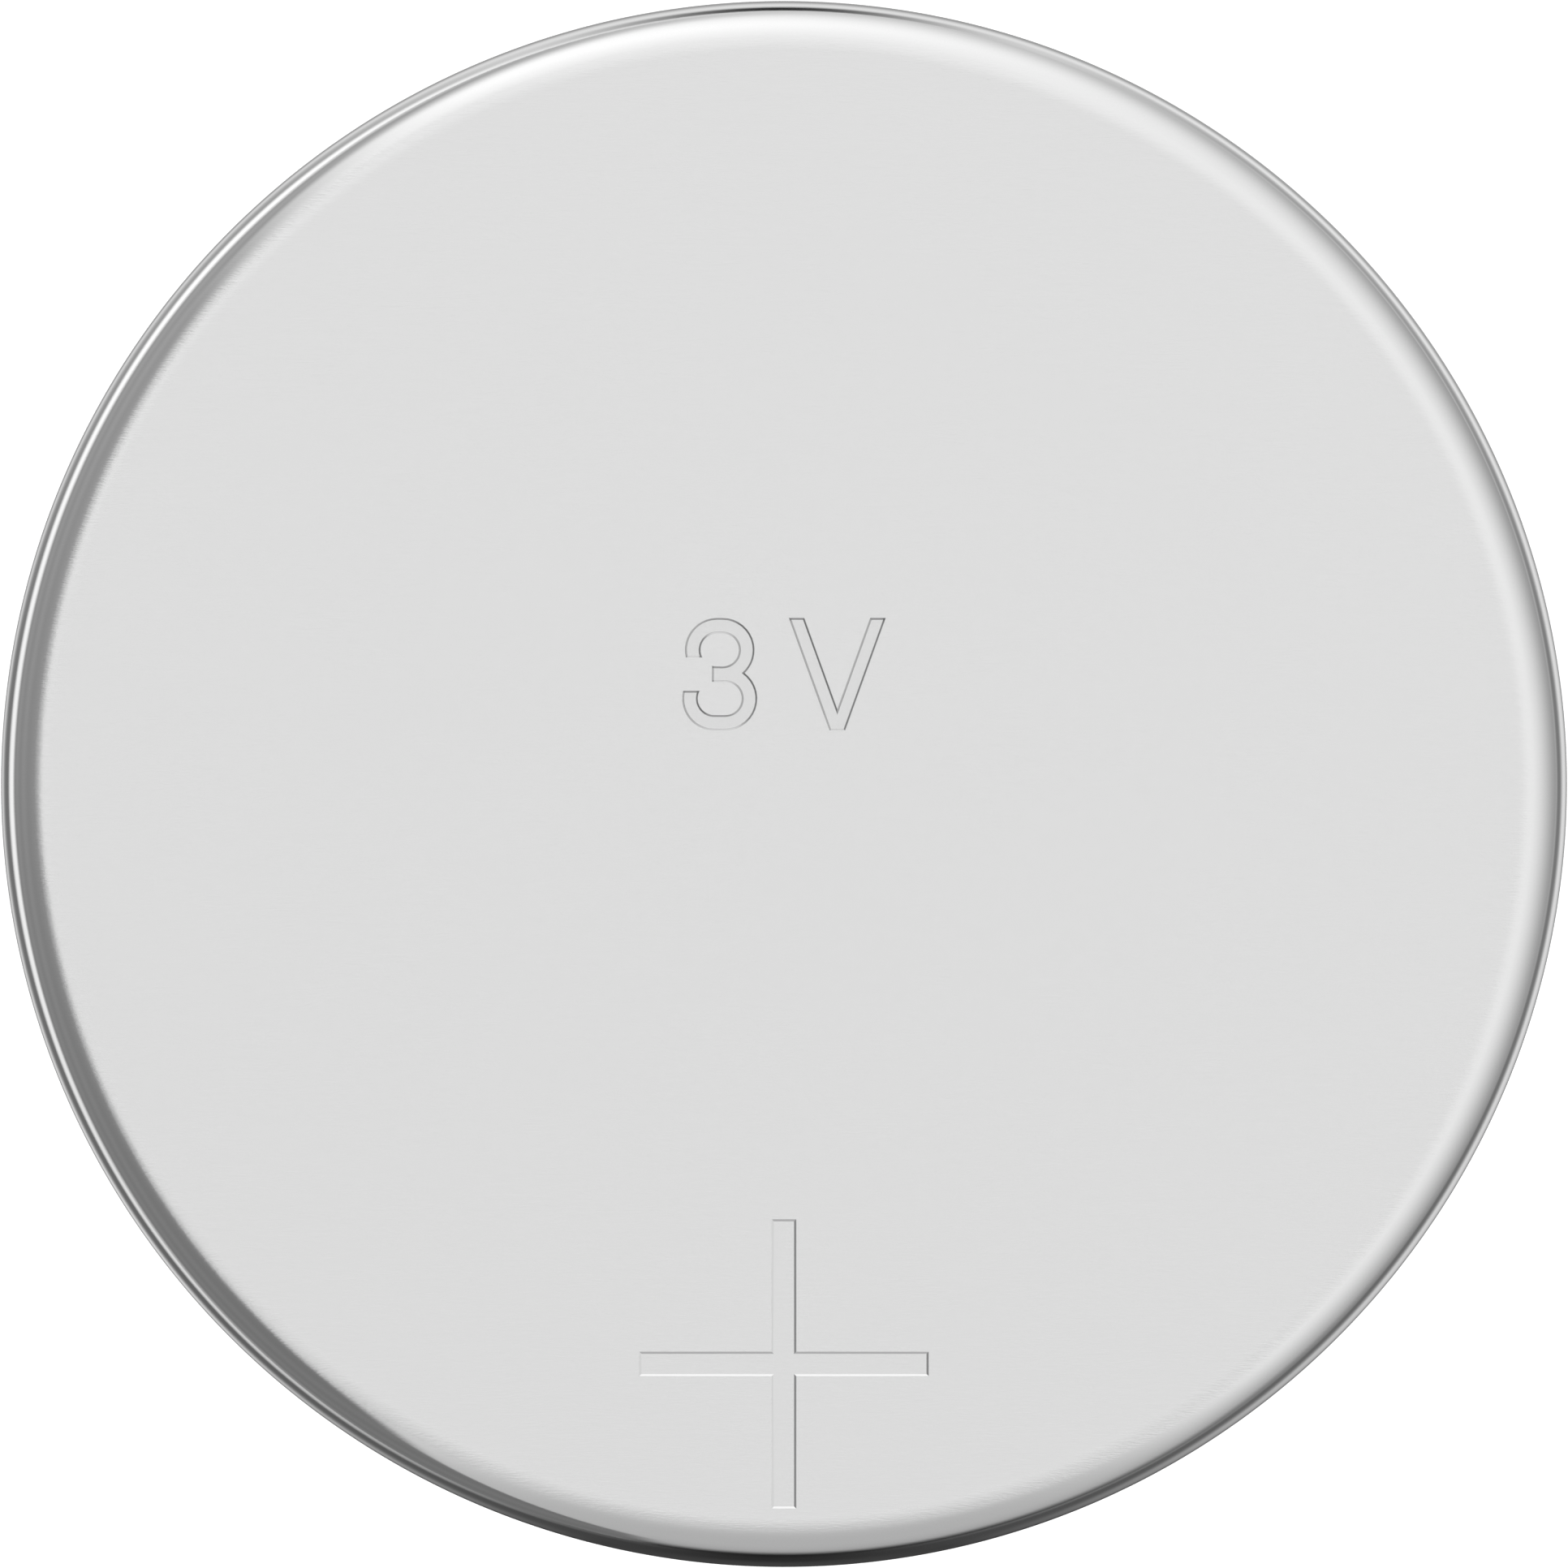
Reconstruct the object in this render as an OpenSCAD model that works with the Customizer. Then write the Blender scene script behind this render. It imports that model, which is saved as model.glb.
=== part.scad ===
// Lithium coin cell, drawn with the positive face up.
// The negative cap's flat face lies on z = 0, and the cell's axis is the Z axis.
// +Y is the top of the positive face as its marks are read, and +X is to the right.
// Every round piece is a section in the right half-plane, turned about the Z axis.

/* [Cell] */
// Outside diameter of the finished cell
cell_d = 10; // [9:0.1:12.5]
// Height of the finished cell
cell_h = 2.5; // [2.2:0.1:3.6]

/* [Positive can] */
// Thickness of the can's sheet
can_t = 0.2; // [0.16:0.01:0.24]
// Outside radius of the edge round the positive face
can_edge_r = 0.25; // [0.2:0.01:0.4]
// Inside radius of that edge
can_inner_edge_r = 0.06; // [0.03:0.01:0.1]
// Outside radius of the curl that closes the can over the gasket
crimp_r = 0.5; // [0.42:0.01:0.58]
// Height of the curl's lowest line above the negative contact face
crimp_rise = 0.2; // [0.1:0.01:0.3]
// Straight run of the can's lip past the curl
lip_run = 0.12; // [0.06:0.01:0.18]
// Angle in degrees that the lip turns past level, into the gasket
lip_dip = 15; // [5:1:25]

/* [Negative cap] */
// Thickness of the cap's sheet
cap_t = 0.2; // [0.16:0.01:0.22]
// Width of the cap's shoulder, from the wall of its contact face to its skirt
shoulder_w = 0.65; // [0.55:0.01:0.8]
// Outside radius of the edge round the negative contact face
cap_edge_r = 0.3; // [0.24:0.01:0.34]
// Outside radius of the bend from the wall into the shoulder
cap_bend_r = 0.1; // [0.05:0.01:0.14]
// Outside radius of the bend from the shoulder into the skirt
skirt_bend_r = 0.3; // [0.24:0.01:0.34]

/* [Gasket] */
// Thickness of the gasket between the can's wall and the cap's skirt
gasket_wall_t = 0.25; // [0.2:0.01:0.3]
// Thickness of the gasket between the can's curl and the cap's shoulder
gasket_cover_t = 0.2; // [0.16:0.01:0.26]
// Thickness of the gasket's foot, between the skirt's end and the can's floor
gasket_foot_t = 0.3; // [0.2:0.01:0.4]
// Thickness of the gasket's inner lip, inside the cap's skirt
gasket_lip_t = 0.28; // [0.2:0.01:0.34]
// Height of that lip above the foot
gasket_lip_h = 0.5; // [0.3:0.05:0.6]
// Round of the gasket's free edges
gasket_round = 0.08; // [0.07:0.01:0.09]

/* [Cell stack] */
// Thickness of the separator
separator_t = 0.2; // [0.1:0.01:0.25]
// Gap between the lithium disc and the cap's edge round
lithium_margin = 0.1; // [0.05:0.01:0.3]
// Thickness of the ring pressed round the cathode pellet
ring_t = 0.1; // [0.06:0.01:0.12]
// Height of that ring
ring_h = 0.6; // [0.4:0.05:0.8]
// Width of the ring's flange, between the pellet and the can's floor
ring_flange_w = 0.6; // [0.3:0.05:0.9]
// Bevel of the pellet's free edge
pellet_bevel = 0.06; // [0.03:0.01:0.1]

/* [Marks] */
// Depth of the plus sign in the positive face, only lightly stamped
plus_depth = 0.005; // [0.005:0.005:0.05]
// Depth of the rating's figures
rating_depth = 0.025; // [0.015:0.005:0.05]
// Length of each bar of the plus sign
plus_span = 1.85; // [1.2:0.05:2.2]
// Width of those bars
plus_stroke = 0.16; // [0.1:0.01:0.3]
// Distance from the plus sign's lower end to the can's outside
plus_edge_gap = 0.375; // [0.3:0.005:0.8]
// Height of the rating's figures
rating_h = 0.72; // [0.5:0.02:1]
// Width of their strokes
rating_stroke = 0.1; // [0.06:0.01:0.14]
// Straight run in each stroke of the numeral's lower bowl
bowl_run = 0.07; // [0.02:0.01:0.2]
// Width of the unit letter
unit_w = 0.62; // [0.4:0.02:0.8]
// Space between the numeral and the unit letter
rating_space = 0.2; // [0.1:0.02:0.4]
// Height of the rating's middle line above the cell's axis, on the face
rating_y = 0.7; // [0.5:0.05:2]

/* [Fits] */
// Clearance between curved pieces that the closed cell presses together
fit_gap = 0.02; // [0.01:0.005:0.04]
// Clearance between the cathode ring and the gasket
stack_gap = 0.06; // [0.03:0.01:0.15]

/* [Hidden] */
$fn = 128;

// Far enough past any edge that a cut runs clear of the piece
past = 1;

cell_r = cell_d / 2;
can_floor_z = cell_h - can_t;
can_inner_r = cell_r - can_t;

// Centre of the curl in the section, with the radius of its inner side
curl_x = cell_r - crimp_r;
curl_z = crimp_rise + crimp_r;
curl_inner_r = crimp_r - can_t;

// The cap stands in the gasket, with its skirt's end on the gasket's foot
skirt_r = can_inner_r - gasket_wall_t;
skirt_inner_r = skirt_r - cap_t;
skirt_end_z = can_floor_z - gasket_foot_t;
cap_wall_r = skirt_r - shoulder_w;
shoulder_z = crimp_rise + can_t + gasket_cover_t;
shoulder_inner_z = shoulder_z + cap_t;

// Centres of the cap's three bends in the section
cap_edge_x = cap_wall_r - cap_edge_r;
cap_bend_x = cap_wall_r + cap_bend_r;
cap_bend_z = shoulder_z - cap_bend_r;
skirt_bend_x = skirt_r - skirt_bend_r;
skirt_bend_z = shoulder_z + skirt_bend_r;

gasket_lip_r = skirt_inner_r - fit_gap;
gasket_bore_r = gasket_lip_r - gasket_lip_t;
gasket_lip_z = skirt_end_z - gasket_lip_h;

// The stack is clamped between the cap and the can's floor
separator_z = shoulder_inner_z;
pellet_z = separator_z + separator_t;
ring_outer_r = gasket_bore_r - stack_gap;
pellet_r = ring_outer_r - ring_t - fit_gap;
ring_low_z = can_floor_z - ring_h;
lithium_r = cap_edge_x - lithium_margin;

// Middle of the plus sign
plus_y = plus_edge_gap + plus_span / 2 - cell_r;

// The numeral's two bowls are equally high, and share the stroke where they meet
bowl_r = (rating_h + rating_stroke) / 4;
bowl_y = rating_h / 2 - bowl_r;
numeral_w = 2 * bowl_r + bowl_run;
rating_w = numeral_w + rating_space + unit_w;
numeral_x = -rating_w / 2 + numeral_w / 2;
unit_x = rating_w / 2 - unit_w / 2;

// A quarter of a bent sheet: low_r to high_r from the bend's centre, in quadrant (side_x, side_z)
module bend(centre, low_r, high_r, side_x, side_z) {
    reach = high_r + past;
    translate(centre) intersection() {
        difference() {
            circle(high_r);
            circle(low_r);
        }
        translate([side_x > 0 ? 0 : -reach, side_z > 0 ? 0 : -reach]) square(reach);
    }
}

// A rectangle in the section, by its low and high corners
module block(low, high) {
    translate(low) square(high - low);
}

// Inside or outside outline of the can above its curl
module can_outline(radius, top_z, edge_r) {
    block([0, curl_z], [radius, top_z - edge_r]);
    block([0, curl_z], [radius - edge_r, top_z]);
    translate([radius - edge_r, top_z - edge_r]) circle(edge_r);
}

// The can's curl, from its wall round to where the lip starts
module curl_section() {
    translate([curl_x, curl_z]) {
        bend([0, 0], curl_inner_r, crimp_r, 1, -1);
        rotate(-lip_dip) bend([0, 0], curl_inner_r, crimp_r, 1, -1);
    }
}

// The can's lip, which ends in a rounded cut edge
module lip_section() {
    translate([curl_x, curl_z]) rotate(-lip_dip) {
        translate([-lip_run, -crimp_r]) square([lip_run, can_t]);
        translate([-lip_run, -crimp_r + can_t / 2]) circle(can_t / 2);
    }
}

module can_section() {
    difference() {
        can_outline(cell_r, cell_h, can_edge_r);
        can_outline(can_inner_r, can_floor_z, can_inner_edge_r);
    }
    curl_section();
    lip_section();
}

// One bar of the plus sign lies across the other
module plus_mark() {
    square([plus_span, plus_stroke], center = true);
    square([plus_stroke, plus_span], center = true);
}

// A round-ended shape, with a straight run between its two halves
module oval(radius, run) {
    translate([-run / 2, 0]) circle(radius);
    translate([run / 2, 0]) circle(radius);
    square([run, 2 * radius], center = true);
}

// The numeral is two bowls, open to the left, the upper one a little narrower
module numeral_mark() {
    high_run = bowl_run / 2;
    half_stroke = rating_stroke / 2;
    difference() {
        union() {
            translate([0, -bowl_y]) oval(bowl_r, bowl_run);
            translate([0, bowl_y]) oval(bowl_r, high_run);
        }
        translate([0, -bowl_y]) oval(bowl_r - rating_stroke, bowl_run);
        translate([0, bowl_y]) oval(bowl_r - rating_stroke, high_run);
        block([-numeral_w, half_stroke - bowl_y], [-half_stroke, bowl_y - half_stroke]);
    }
}

// The unit letter is a plain V
module unit_mark() {
    half_w = unit_w / 2;
    half_h = rating_h / 2;
    foot = rating_stroke / 2;
    // The inner edges run beside the outer ones and meet on the middle line
    run = half_w - foot;
    inner_run = half_w - rating_stroke;
    notch_y = half_h - rating_h * inner_run / run;
    polygon([
        [-half_w, half_h],
        [-foot, -half_h],
        [foot, -half_h],
        [half_w, half_h],
        [inner_run, half_h],
        [0, notch_y],
        [-inner_run, half_h]
    ]);
}

// What a mark of a given depth takes out of the positive face
module stamped(depth) {
    translate([0, 0, cell_h - depth]) linear_extrude(depth + past) children();
}

// Drawn stainless can: positive face, wall, and the curl that holds the cell shut
module positive_can() {
    color("silver") difference() {
        rotate_extrude() can_section();
        stamped(plus_depth) translate([0, plus_y]) plus_mark();
        stamped(rating_depth) translate([numeral_x, rating_y]) numeral_mark();
        stamped(rating_depth) translate([unit_x, rating_y]) unit_mark();
    }
}

module cap_section() {
    block([0, 0], [cap_edge_x, cap_t]);
    bend([cap_edge_x, cap_edge_r], cap_edge_r - cap_t, cap_edge_r, 1, -1);
    block([cap_wall_r - cap_t, cap_edge_r], [cap_wall_r, cap_bend_z]);
    bend([cap_bend_x, cap_bend_z], cap_bend_r, cap_bend_r + cap_t, -1, 1);
    block([cap_bend_x, shoulder_z], [skirt_bend_x, shoulder_inner_z]);
    bend([skirt_bend_x, skirt_bend_z], skirt_bend_r - cap_t, skirt_bend_r, 1, -1);
    block([skirt_inner_r, skirt_bend_z], [skirt_r, skirt_end_z]);
}

// Drawn stainless cap: the raised negative contact face, its shoulder and its skirt
module negative_cap() {
    color("lightgray") rotate_extrude() cap_section();
}

// The room that the cap takes out of the gasket
module cap_room() {
    room_r = skirt_bend_r + fit_gap;
    block([0, skirt_bend_z], [skirt_r + fit_gap, cell_h]);
    block([0, shoulder_z], [skirt_bend_x, skirt_bend_z]);
    intersection() {
        translate([skirt_bend_x, skirt_bend_z]) circle(room_r);
        block([skirt_bend_x, shoulder_z], [skirt_r + past, skirt_bend_z + past]);
    }
}

// The room that the can's lip takes out of the gasket
module lip_room() {
    reach = lip_run + can_t / 2 + fit_gap;
    top = fit_gap - curl_inner_r;
    translate([curl_x, curl_z]) rotate(-lip_dip) block([-reach, top - past], [curl_inner_r, top]);
}

// Outside of the gasket, inside the can and its curl
module gasket_outline() {
    wall_r = can_inner_r - fit_gap;
    curl_r = curl_inner_r - fit_gap;
    free_x = cap_bend_x;
    free_z = curl_z - curl_r;
    block([free_x, curl_z], [wall_r, can_floor_z - gasket_round]);
    block([free_x, can_floor_z - gasket_round], [wall_r - gasket_round, can_floor_z]);
    translate([wall_r - gasket_round, can_floor_z - gasket_round]) circle(gasket_round);
    translate([curl_x, curl_z]) circle(curl_r);
    block([free_x + gasket_round, free_z], [curl_x, curl_z]);
    block([free_x, free_z + gasket_round], [curl_x, curl_z]);
    translate([free_x + gasket_round, free_z + gasket_round]) circle(gasket_round);
}

module gasket_section() {
    difference() {
        gasket_outline();
        cap_room();
        lip_room();
    }
    block([gasket_bore_r, skirt_end_z], [can_inner_r - fit_gap - gasket_round, can_floor_z]);
    block([gasket_bore_r, gasket_lip_z], [gasket_lip_r, skirt_end_z]);
}

// Moulded plastic seal: outer wall, foot, inner lip, and the cover that shows beside the cap
module gasket() {
    color("dimgray") rotate_extrude() gasket_section();
}

// Thin stainless collar of L section, pressed round the pellet and standing on the can's floor
module cathode_ring() {
    color("darkgray") rotate_extrude() {
        block([ring_outer_r - ring_t, ring_low_z], [ring_outer_r, can_floor_z]);
        block([ring_outer_r - ring_flange_w, can_floor_z - ring_t], [ring_outer_r, can_floor_z]);
    }
}

// Pressed manganese dioxide tablet, with a step that the ring's flange fills
module cathode_pellet() {
    step_r = ring_outer_r - ring_flange_w - fit_gap;
    step_z = can_floor_z - ring_t;
    color("#222222") rotate_extrude() polygon([
        [0, pellet_z],
        [pellet_r - pellet_bevel, pellet_z],
        [pellet_r, pellet_z + pellet_bevel],
        [pellet_r, step_z],
        [step_r, step_z],
        [step_r, can_floor_z],
        [0, can_floor_z]
    ]);
}

// Fibrous sheet that keeps the electrodes apart, clamped between the pellet and the cap's shoulder
module separator() {
    color("white") translate([0, 0, separator_z]) cylinder(r = skirt_bend_x, h = separator_t);
}

// Soft lithium metal, pressed into the cap up to the level of its shoulder
module lithium_disc() {
    color("lightsteelblue") translate([0, 0, cap_t]) cylinder(r = lithium_r, h = separator_z - cap_t);
}

positive_can();
gasket();
negative_cap();
cathode_ring();
cathode_pellet();
separator();
lithium_disc();
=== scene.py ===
"""Looks of a small lithium coin cell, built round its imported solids. Sizes are in metres."""

import math

import bpy
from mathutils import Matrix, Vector
from mathutils.geometry import tessellate_polygon


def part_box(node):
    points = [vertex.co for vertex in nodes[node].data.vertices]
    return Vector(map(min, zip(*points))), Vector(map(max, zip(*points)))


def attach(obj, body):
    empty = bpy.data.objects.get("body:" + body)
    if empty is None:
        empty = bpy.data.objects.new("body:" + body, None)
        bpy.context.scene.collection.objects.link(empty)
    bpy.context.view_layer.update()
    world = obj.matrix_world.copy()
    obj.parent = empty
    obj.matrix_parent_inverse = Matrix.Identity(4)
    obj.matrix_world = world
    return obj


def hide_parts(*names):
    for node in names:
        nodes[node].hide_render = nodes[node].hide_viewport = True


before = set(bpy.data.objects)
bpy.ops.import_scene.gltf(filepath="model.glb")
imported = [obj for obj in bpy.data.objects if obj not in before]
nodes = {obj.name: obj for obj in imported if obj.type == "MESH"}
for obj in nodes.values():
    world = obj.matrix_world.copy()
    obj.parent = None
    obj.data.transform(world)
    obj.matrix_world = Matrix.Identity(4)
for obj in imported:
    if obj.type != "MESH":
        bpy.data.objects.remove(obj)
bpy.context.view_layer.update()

MM = 0.001

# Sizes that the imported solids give
can_low, can_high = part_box("positive_can")
gasket_low, gasket_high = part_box("gasket")
cap_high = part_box("negative_cap")[1]
separator_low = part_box("separator")[0]
cell_r = can_high.x
cell_h = can_high.z
crimp_z = can_low.z
can_floor_z = gasket_high.z
gasket_r = gasket_high.x
gasket_free_z = gasket_low.z
skirt_r = cap_high.x
skirt_end_z = cap_high.z
shoulder_inner_z = separator_low.z

# Sizes that no box shows, as the sheets and bends are made
SHEET_T = 0.2 * MM
CAN_EDGE_R = 0.25 * MM
CAN_INNER_EDGE_R = 0.06 * MM
CRIMP_R = 0.5 * MM
LIP_RUN = 0.12 * MM
LIP_DIP = 15
SHOULDER_W = 0.65 * MM
CAP_EDGE_R = 0.3 * MM
CAP_BEND_R = 0.1 * MM
SKIRT_BEND_R = 0.3 * MM
GASKET_ROUND = 0.08 * MM
GASKET_LIP_T = 0.28 * MM
GASKET_LIP_H = 0.5 * MM
FIT_GAP = 0.02 * MM

# The positive face rolls over softly before its edge round
ROLL_ANGLE = 6
ROLL_WIDTH = 0.114 * MM
ROLL_POWER = 3
ROLL_STEPS = 12
# How polished it is where it joins the edge round, and how fast the round gets its full polish
ROLL_POLISH = 0.25
POLISH_RUN = 8
# Where on the edge round the wall's finish begins, and the width over which the cap's edge polishes
WALL_FINISH_START = 0.75
CAP_POLISH_RUN = 0.15 * MM

# Stamped marks
PLUS_DEPTH = 0.005 * MM
PLUS_WALL_RUN = 0.016 * MM
RATING_DEPTH = 0.025 * MM
RATING_WALL_RUN = 0.0125 * MM
MARK_WALL_STEPS = 6
PLUS_SPAN = 1.85 * MM
PLUS_STROKE = 0.16 * MM
PLUS_EDGE_GAP = 0.375 * MM
RATING_H = 0.72 * MM
RATING_STROKE = 0.1 * MM
BOWL_RUN = 0.07 * MM
NOTCH_TRIES = 30
UNIT_W = 0.62 * MM
RATING_SPACE = 0.2 * MM
RATING_Y = 0.7 * MM

# The drawn steel's finish: its brushed lines and drawing lines, in millimetres, how much its
# clouds, flecks and streaks change its tone, and how much a painted shade darkens its stamped marks
BRUSH_LINES = {"Line Length": 0.06, "Line Width": 0.01}
DRAWING_LINES = {"Line Length": 0.7, "Line Width": 0.014}
STEEL_CLOUDS = {"Cloud Size": 2.2, "Fleck Size": 0.012}
CLOUD_SHADE = 0.02
FLECK_SHADE = 0.03
STREAK_SHADE = 0.008
MARK_SHADE_WEIGHT = -0.02
# How much the lines and clouds change its polish
BRUSH_POLISH = 4.0
DRAWING_ROUGH = 0.16
CLOUD_ROUGH = 0.06
# How deep the brushed lines look on the flat face, on its roll-over and on the burnished edge,
# and the burnish at which they are deepest
FACE_LINES = 0.35
ROLL_LINES = 1.4
EDGE_LINES = 0.2
ROLL_LINES_BURNISH = 0.2
LINE_DEPTH = 0.0008 * MM

# Fineness of the turned pieces: steps round a turn and along straights, and degrees along bends
TURN_STEPS = 480
WALL_STEPS = 6
CONTACT_STEPS = 8
BEND_STEP = 5
FINE_STEP = 2.5
NOSE_STEP = 12
FOOT_STEP = 10
CORNER_STEP = 15
# A turn of more degrees than this makes a sharp edge
SHARP_TURN = 35

# The photograph's frame: 1932 pixels square, with the cell's outline almost 965 in radius
FRAME_PX = 1932
OUTLINE_PX = 964.8
CAMERA_HEIGHT = 0.3
SENSOR = 36
CLIP_START = 0.01
CLIP_END = 10.0

# Tones of the studio. The open sky is 1 high up, a little more overhead, and falls off towards
# the horizon. Heights are the upward part of a direction, 0 at the horizon and 1 overhead
ZENITH_TONE = 1.125
ZENITH_START = 0.85
HORIZON_TONE = 0.43
FALL_HEIGHT = 0.87
FALL_POWER = 1.4
# It brightens towards the far side, most of all some degrees to the left there
FAR_GAIN = 1.3
FAR_POWER = 2.2
FAR_TURN = 17
# It is shaded in front, in one part that deepens upwards and in another near the horizon
FRONT_SHADE = 0.42
FRONT_REACH = (0.75, 1.0)
FRONT_SIDE = (0.03, -0.1)
FRONT_RISE = (0.3, 0.95)
FRONT_LEAST = 0.3
FRONT_LOW_SHADE = 0.95
FRONT_LOW_POWER = 4.0
FRONT_LOW_HEIGHT = (0.3, 0.02)
# A grey panel stands on the left, and is brighter at its far end
PANEL_TONE = 0.33
PANEL_FAR_GAIN = 1.57
# How far left its edge lies, how it leans off, and how it spreads near the floor at both ends
PANEL_EDGE = 0.105
PANEL_LEAN = 0.5
PANEL_SKEW = 0.11
PANEL_FAR_FOOT = 0.6
PANEL_FAR_FOOT_RISE = (0.66, 0.0)
PANEL_FAR_SIDE = (0.0, 0.3)
PANEL_NEAR_FOOT = 0.3
PANEL_NEAR_FOOT_RISE = (0.75, 0.3)
PANEL_NEAR_SIDE = (-0.4, -0.8)
PANEL_BLUR = 0.035
PANEL_FAR_BLUR = 0.34
# Soft folds run along it: how strong they are, their pitch in height and the height of one
PANEL_FOLD = 0.05
PANEL_FOLD_PITCH = 0.33
PANEL_FOLD_START = 0.65
# Below the panel a strip of the white backdrop shows, just above the floor
STRIP_TONE = 1.2
STRIP_HEIGHT = 0.2
STRIP_LEFT = (-0.3, -0.7)
STRIP_NEAR = (-0.95, -0.2)
# What the floor and the plastic are lit by, and how much brighter the camera sees the floor
SOFT_LIGHT = 1.0
FLOOR_TONE = 0.85
FLOOR_LIFT = 0.6
SHADED_FLOOR_TONE = 0.3
FLOOR_HALF = 1.5

# The card that shows only in the gloss is a painted reflection of the floor. It has a dark ring,
# and a painted shadow of the cell darkens it close to the wall.
# Its tones, and its edges in millimetres from the wall, change round the cell: each row is for
# the right, far right, far, far left, left, near left, near and near right
CARD_HEIGHT = 0.01 * MM
CARD_FAR = (0.47, 0.62, 0.82, 1.45, 1.2, 0.95, 0.7, 0.32)
CARD_RING = (0.25, 0.46, 1.1, 0.45, 0.22, 0.17, 0.17, 0.19)
CARD_NEAR = (0.94, 1.08, 1.0, 0.96, 0.96, 0.96, 1.02, 0.82)
RING_START = (5.0, 6.4, 5.4, 3.2, 2.5, 2.9, 4.5, 5.6)
RING_END = (19.0, 22.0, 16.0, 9.0, 9.5, 12.0, 17.0, 24.0)
SHADE_END = (1.7, 2.8, 2.5, 1.9, 1.6, 1.5, 1.5, 1.8)
# An edge over a place's distance from the wall, where its softness begins and ends
START_BLUR = (1.7, 0.6)
END_BLUR = (1.5, 0.4)
SHADE_BLUR = (1.8, 0.6)
WALL_SHADE = 0.42
# Under the cell a painted shadow makes the card nearly black, from a little inside the wall
UNDER_SHADOW_EDGE = (-0.2, 0.5)
UNDER_SHADOW_TONE = 0.08
# At the far side it has a short dark slit. Turns are shares of a full turn from the right, and
# distances are in millimetres from the wall
SLIT_TURN = 0.251
SLIT_SPREAD = (0.06, 0.0)
SLIT_INSIDE = (3.4, 7.0)
SLIT_OUTSIDE = (28.0, 12.5)
SLIT_TONE = 0.03
# Towards the front the card is dark, as a share of these tones
FRONT_TURN = 0.748
FRONT_SPREAD = 0.158
FRONT_TONE = 0.03
NEAR_FRONT_POWER = 1.5
NEAR_LEAST = 0.06


def node(tree, kind, inputs=None, **settings):
    """Adds a shader node. Inputs are links from sockets, or plain values."""
    made = tree.nodes.new(kind)
    for name, value in settings.items():
        setattr(made, name, value)
    for name, value in (inputs or {}).items():
        if isinstance(value, bpy.types.NodeSocket):
            tree.links.new(value, made.inputs[name])
        else:
            made.inputs[name].default_value = value
    return made


def math_node(tree, operation, first, second=0.0, third=0.0):
    """The result of one Math node."""
    inputs = {0: first, 1: second, 2: third}
    return node(tree, "ShaderNodeMath", inputs, operation=operation).outputs[0]


def ease(tree, value, start, end, low=0.0, high=1.0):
    """A smooth step of a value, from low at start to high at end."""
    inputs = {"Value": value, "From Min": start, "From Max": end, "To Min": low, "To Max": high}
    made = node(tree, "ShaderNodeMapRange", inputs, interpolation_type="SMOOTHSTEP")
    return made.outputs["Result"]


def swing(tree, value, by, about):
    """A value that is centred on zero, scaled and set about a middle."""
    return math_node(tree, "MULTIPLY_ADD", value, by, about)


def mix(tree, share, first, second):
    """A number between two others."""
    made = node(tree, "ShaderNodeMix", {"Factor": share, "A": first, "B": second}, data_type="FLOAT")
    return made.outputs["Result"]


def colour_mix(tree, share, first, second):
    """A colour between two others. The node's colour sockets go by number, as their names recur."""
    return node(tree, "ShaderNodeMix", {0: share, 6: first, 7: second}, data_type="RGBA").outputs[2]


def grey(tone):
    """A neutral colour."""
    return (tone, tone, tone, 1.0)


def material(name):
    """An empty node material with its output."""
    made = bpy.data.materials.new(name)
    made.use_nodes = True
    made.node_tree.nodes.clear()
    out = made.node_tree.nodes.new("ShaderNodeOutputMaterial")
    return made, made.node_tree, out


def add_shader(tree, out, surface, height, strength, depth):
    """Ends a material with its shader, which gets its bump from a height."""
    bump = {"Height": height, "Strength": strength, "Distance": depth}
    normal = node(tree, "ShaderNodeBump", bump).outputs["Normal"]
    shader = node(tree, "ShaderNodeBsdfPrincipled", {**surface, "Normal": normal})
    tree.links.new(shader.outputs["BSDF"], out.inputs["Surface"])


def node_group(name, inputs, outputs):
    """A shader node group with named sockets. Returns its tree, input node and output node."""
    tree = bpy.data.node_groups.new(name, "ShaderNodeTree")
    for label, kind, value in inputs:
        socket = tree.interface.new_socket(name=label, in_out="INPUT", socket_type=kind)
        if value is not None:
            socket.default_value = value
    for label in outputs:
        tree.interface.new_socket(name=label, in_out="OUTPUT", socket_type="NodeSocketFloat")
    return tree, tree.nodes.new("NodeGroupInput"), tree.nodes.new("NodeGroupOutput")


def place_group(tree, group, inputs):
    """Uses a node group in a material."""
    return node(tree, "ShaderNodeGroup", inputs, node_tree=group)


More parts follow.
